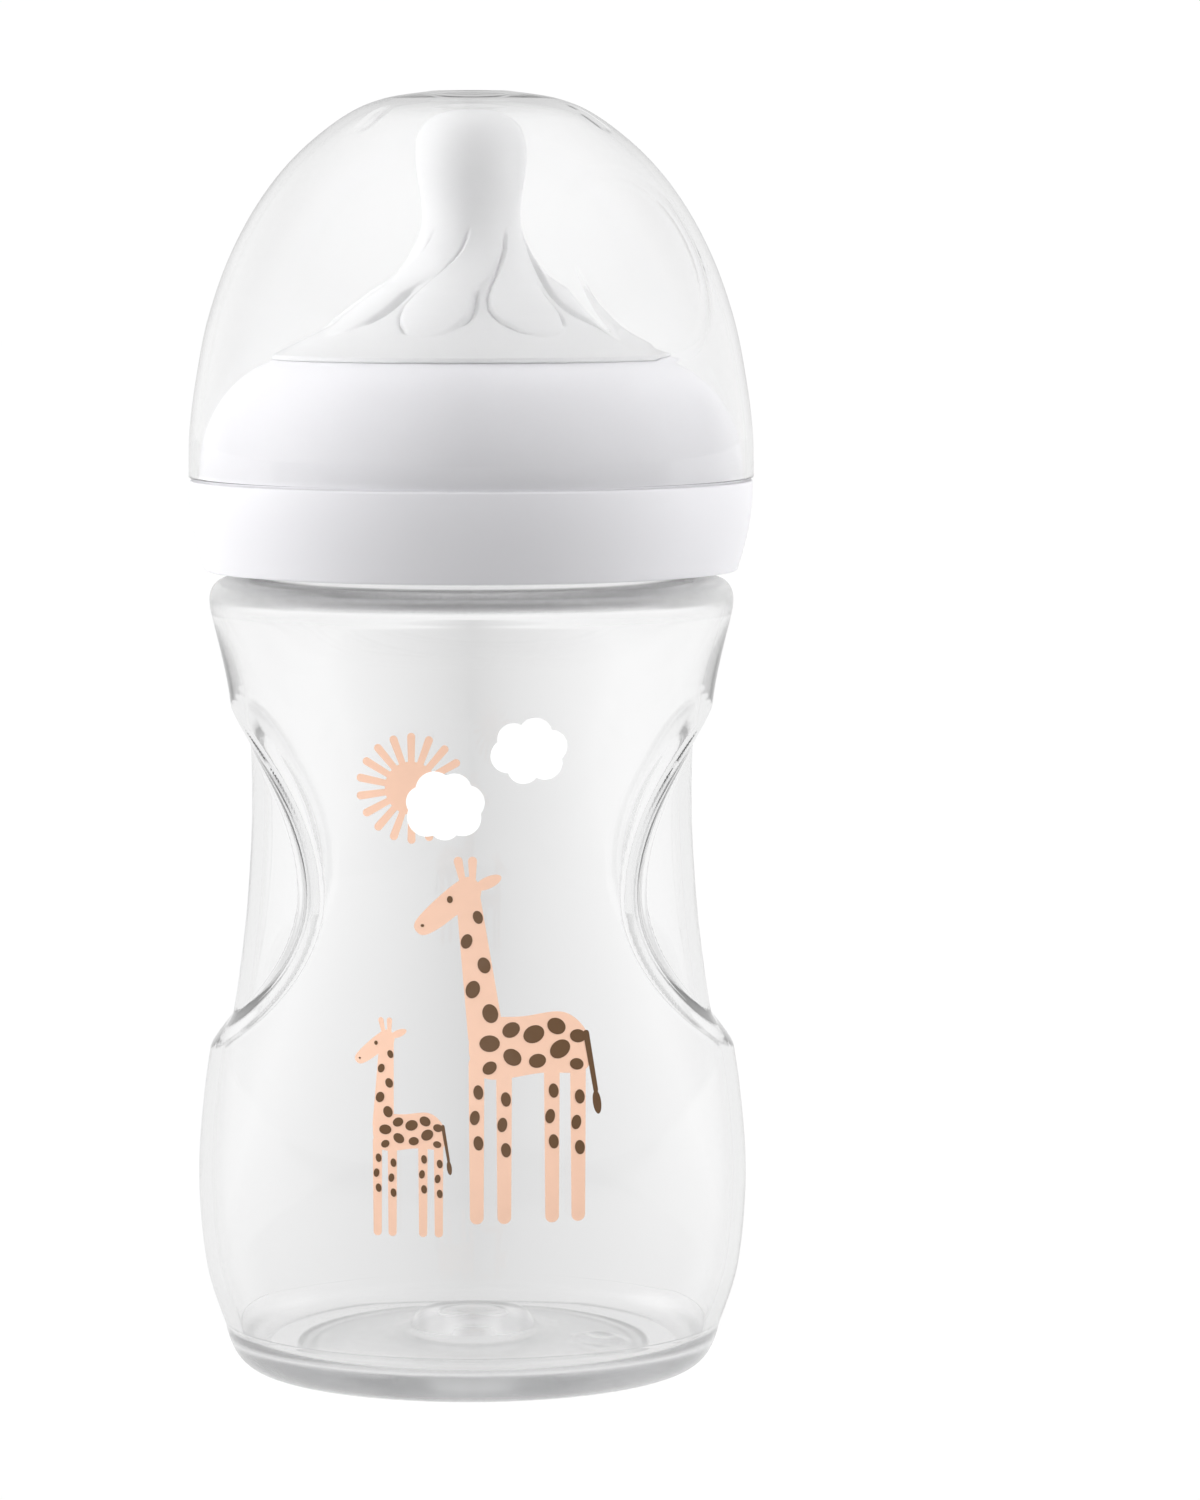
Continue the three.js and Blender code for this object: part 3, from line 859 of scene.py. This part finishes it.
def make_world():
    """White where it is seen straight. As light it is dim in front, and bright behind and on both sides."""
    world = bpy.data.worlds.new("studio")
    bpy.context.scene.world = world
    world.use_nodes = True
    tree = world.node_tree
    seen, lit = tree.nodes["Background"], tree.nodes.new("ShaderNodeBackground")
    seen.inputs["Color"].default_value = (1, 1, 1, 1)
    seen.inputs["Strength"].default_value = WORLD_SEEN
    _, matt, mirrored, straight = light_path(tree)
    only_mirrored = maths(tree, "SUBTRACT", mirrored, matt, True)
    place = tree.nodes.new("ShaderNodeTexCoord")
    axes = tree.nodes.new("ShaderNodeSeparateXYZ")
    tree.links.new(place.outputs["Generated"], axes.inputs["Vector"])

    def lobe(axis, sign, light, shape):
        """Light from one side: a gentle slope where it is mirrored, and stronger as light on matt pieces."""
        toward = maths(tree, "MULTIPLY", axis, sign, True)
        sharp = maths(tree, "MULTIPLY", shape(toward, 1.0), light["mirrored"])
        soft = maths(tree, "MULTIPLY", shape(toward, SIDE_POWER), light["soft"])
        choice = tree.nodes.new("ShaderNodeMix")
        tree.links.new(only_mirrored, choice.inputs["Factor"])
        tree.links.new(soft, choice.inputs["A"])
        tree.links.new(sharp, choice.inputs["B"])
        return choice.outputs["Result"]

    def slope(toward, power):
        return maths(tree, "POWER", toward, power)

    def patch(toward, _):
        return ease(tree, toward, 0.4, 1.0)

    left = lobe(axes.outputs["X"], -1.0, LIGHT_LEFT, slope)
    right = lobe(axes.outputs["X"], 1.0, LIGHT_RIGHT, slope)
    above = lobe(axes.outputs["Z"], 1.0, LIGHT_ABOVE, patch)
    behind = lobe(axes.outputs["Y"], 1.0, LIGHT_BEHIND, patch)
    front = lobe(axes.outputs["Y"], -1.0, LIGHT_FRONT, patch)
    total = maths(tree, "ADD", maths(tree, "ADD", left, right), maths(tree, "ADD", above, behind))
    total = maths(tree, "ADD", total, front)
    tree.links.new(total, lit.inputs["Strength"])
    mix = tree.nodes.new("ShaderNodeMixShader")
    bounced = maths(tree, "MAXIMUM", matt, mirrored)
    tree.links.new(maths(tree, "SUBTRACT", straight, bounced, True), mix.inputs["Fac"])
    tree.links.new(lit.outputs["Background"], mix.inputs[1])
    tree.links.new(seen.outputs["Background"], mix.inputs[2])
    tree.links.new(mix.outputs["Shader"], tree.nodes["World Output"].inputs["Surface"])


def softbox(name, azimuth, elevation, distance, width, height, power):
    """A large soft lamp round the bottle, azimuth in degrees to the right of the front."""
    lamp = bpy.data.lights.new(name, "AREA")
    lamp.shape = "RECTANGLE"
    lamp.size, lamp.size_y = width, height
    lamp.energy = power
    a, e = math.radians(azimuth), math.radians(elevation)
    way = Vector((math.sin(a) * math.cos(e), -math.cos(a) * math.cos(e), math.sin(e)))
    middle = (Vector(cad_low) + Vector(cad_high)) / 2
    holder = bpy.data.objects.new(name, lamp)
    holder.location = middle + way * distance
    holder.rotation_mode = "QUATERNION"
    holder.rotation_quaternion = way.to_track_quat("Z", "Y")
    bpy.context.scene.collection.objects.link(holder)
    return holder


def make_camera():
    """A long lens, a little above the cap's height, that looks down at the bottle and to its right."""
    data = bpy.data.cameras.new("camera")
    data.lens, data.sensor_width = 149, 36
    camera = bpy.data.objects.new("camera", data)
    camera.location = (0, -0.794, 0.149)
    down, right = math.radians(5), math.radians(1.186)
    camera.rotation_euler = (math.pi / 2 - down, 0, -right)
    bpy.context.scene.collection.objects.link(camera)
    bpy.context.scene.camera = camera


make_camera()
make_floor()
make_world()

bottle_plastic, bottle_shader = clear_plastic("clear_bottle_plastic", 22, 0.05)
add_satin(bottle_plastic, bottle_shader)
make_bottle(bottle_plastic)
make_ring(white_plastic())
make_teat(silicone_rubber())
make_cap(clear_plastic("clear_cap_plastic", 36, 0.03)[0])
inked = make_print(ink("peach_ink", (0.77, 0.5, 0.37)), ink("brown_ink", (0.1, 0.045, 0.012)),
                   ink("white_ink", (0.97, 0.97, 0.97)))

# A lamp in front that lights the print alone
print_lamp = softbox("softbox_print", 0, 10, 0.7, 0.5, 0.5, 3.0)
lit_by_it = bpy.data.collections.new("lit_by_print_lamp")
for film_piece in inked:
    lit_by_it.objects.link(film_piece)
print_lamp.light_linking.receiver_collection = lit_by_it

scene = bpy.context.scene
scene.view_settings.view_transform = "Standard"
scene.cycles.use_denoising = True
scene.cycles.max_bounces = 32
scene.cycles.transmission_bounces = 28
scene.cycles.glossy_bounces = 12
scene.cycles.diffuse_bounces = 12
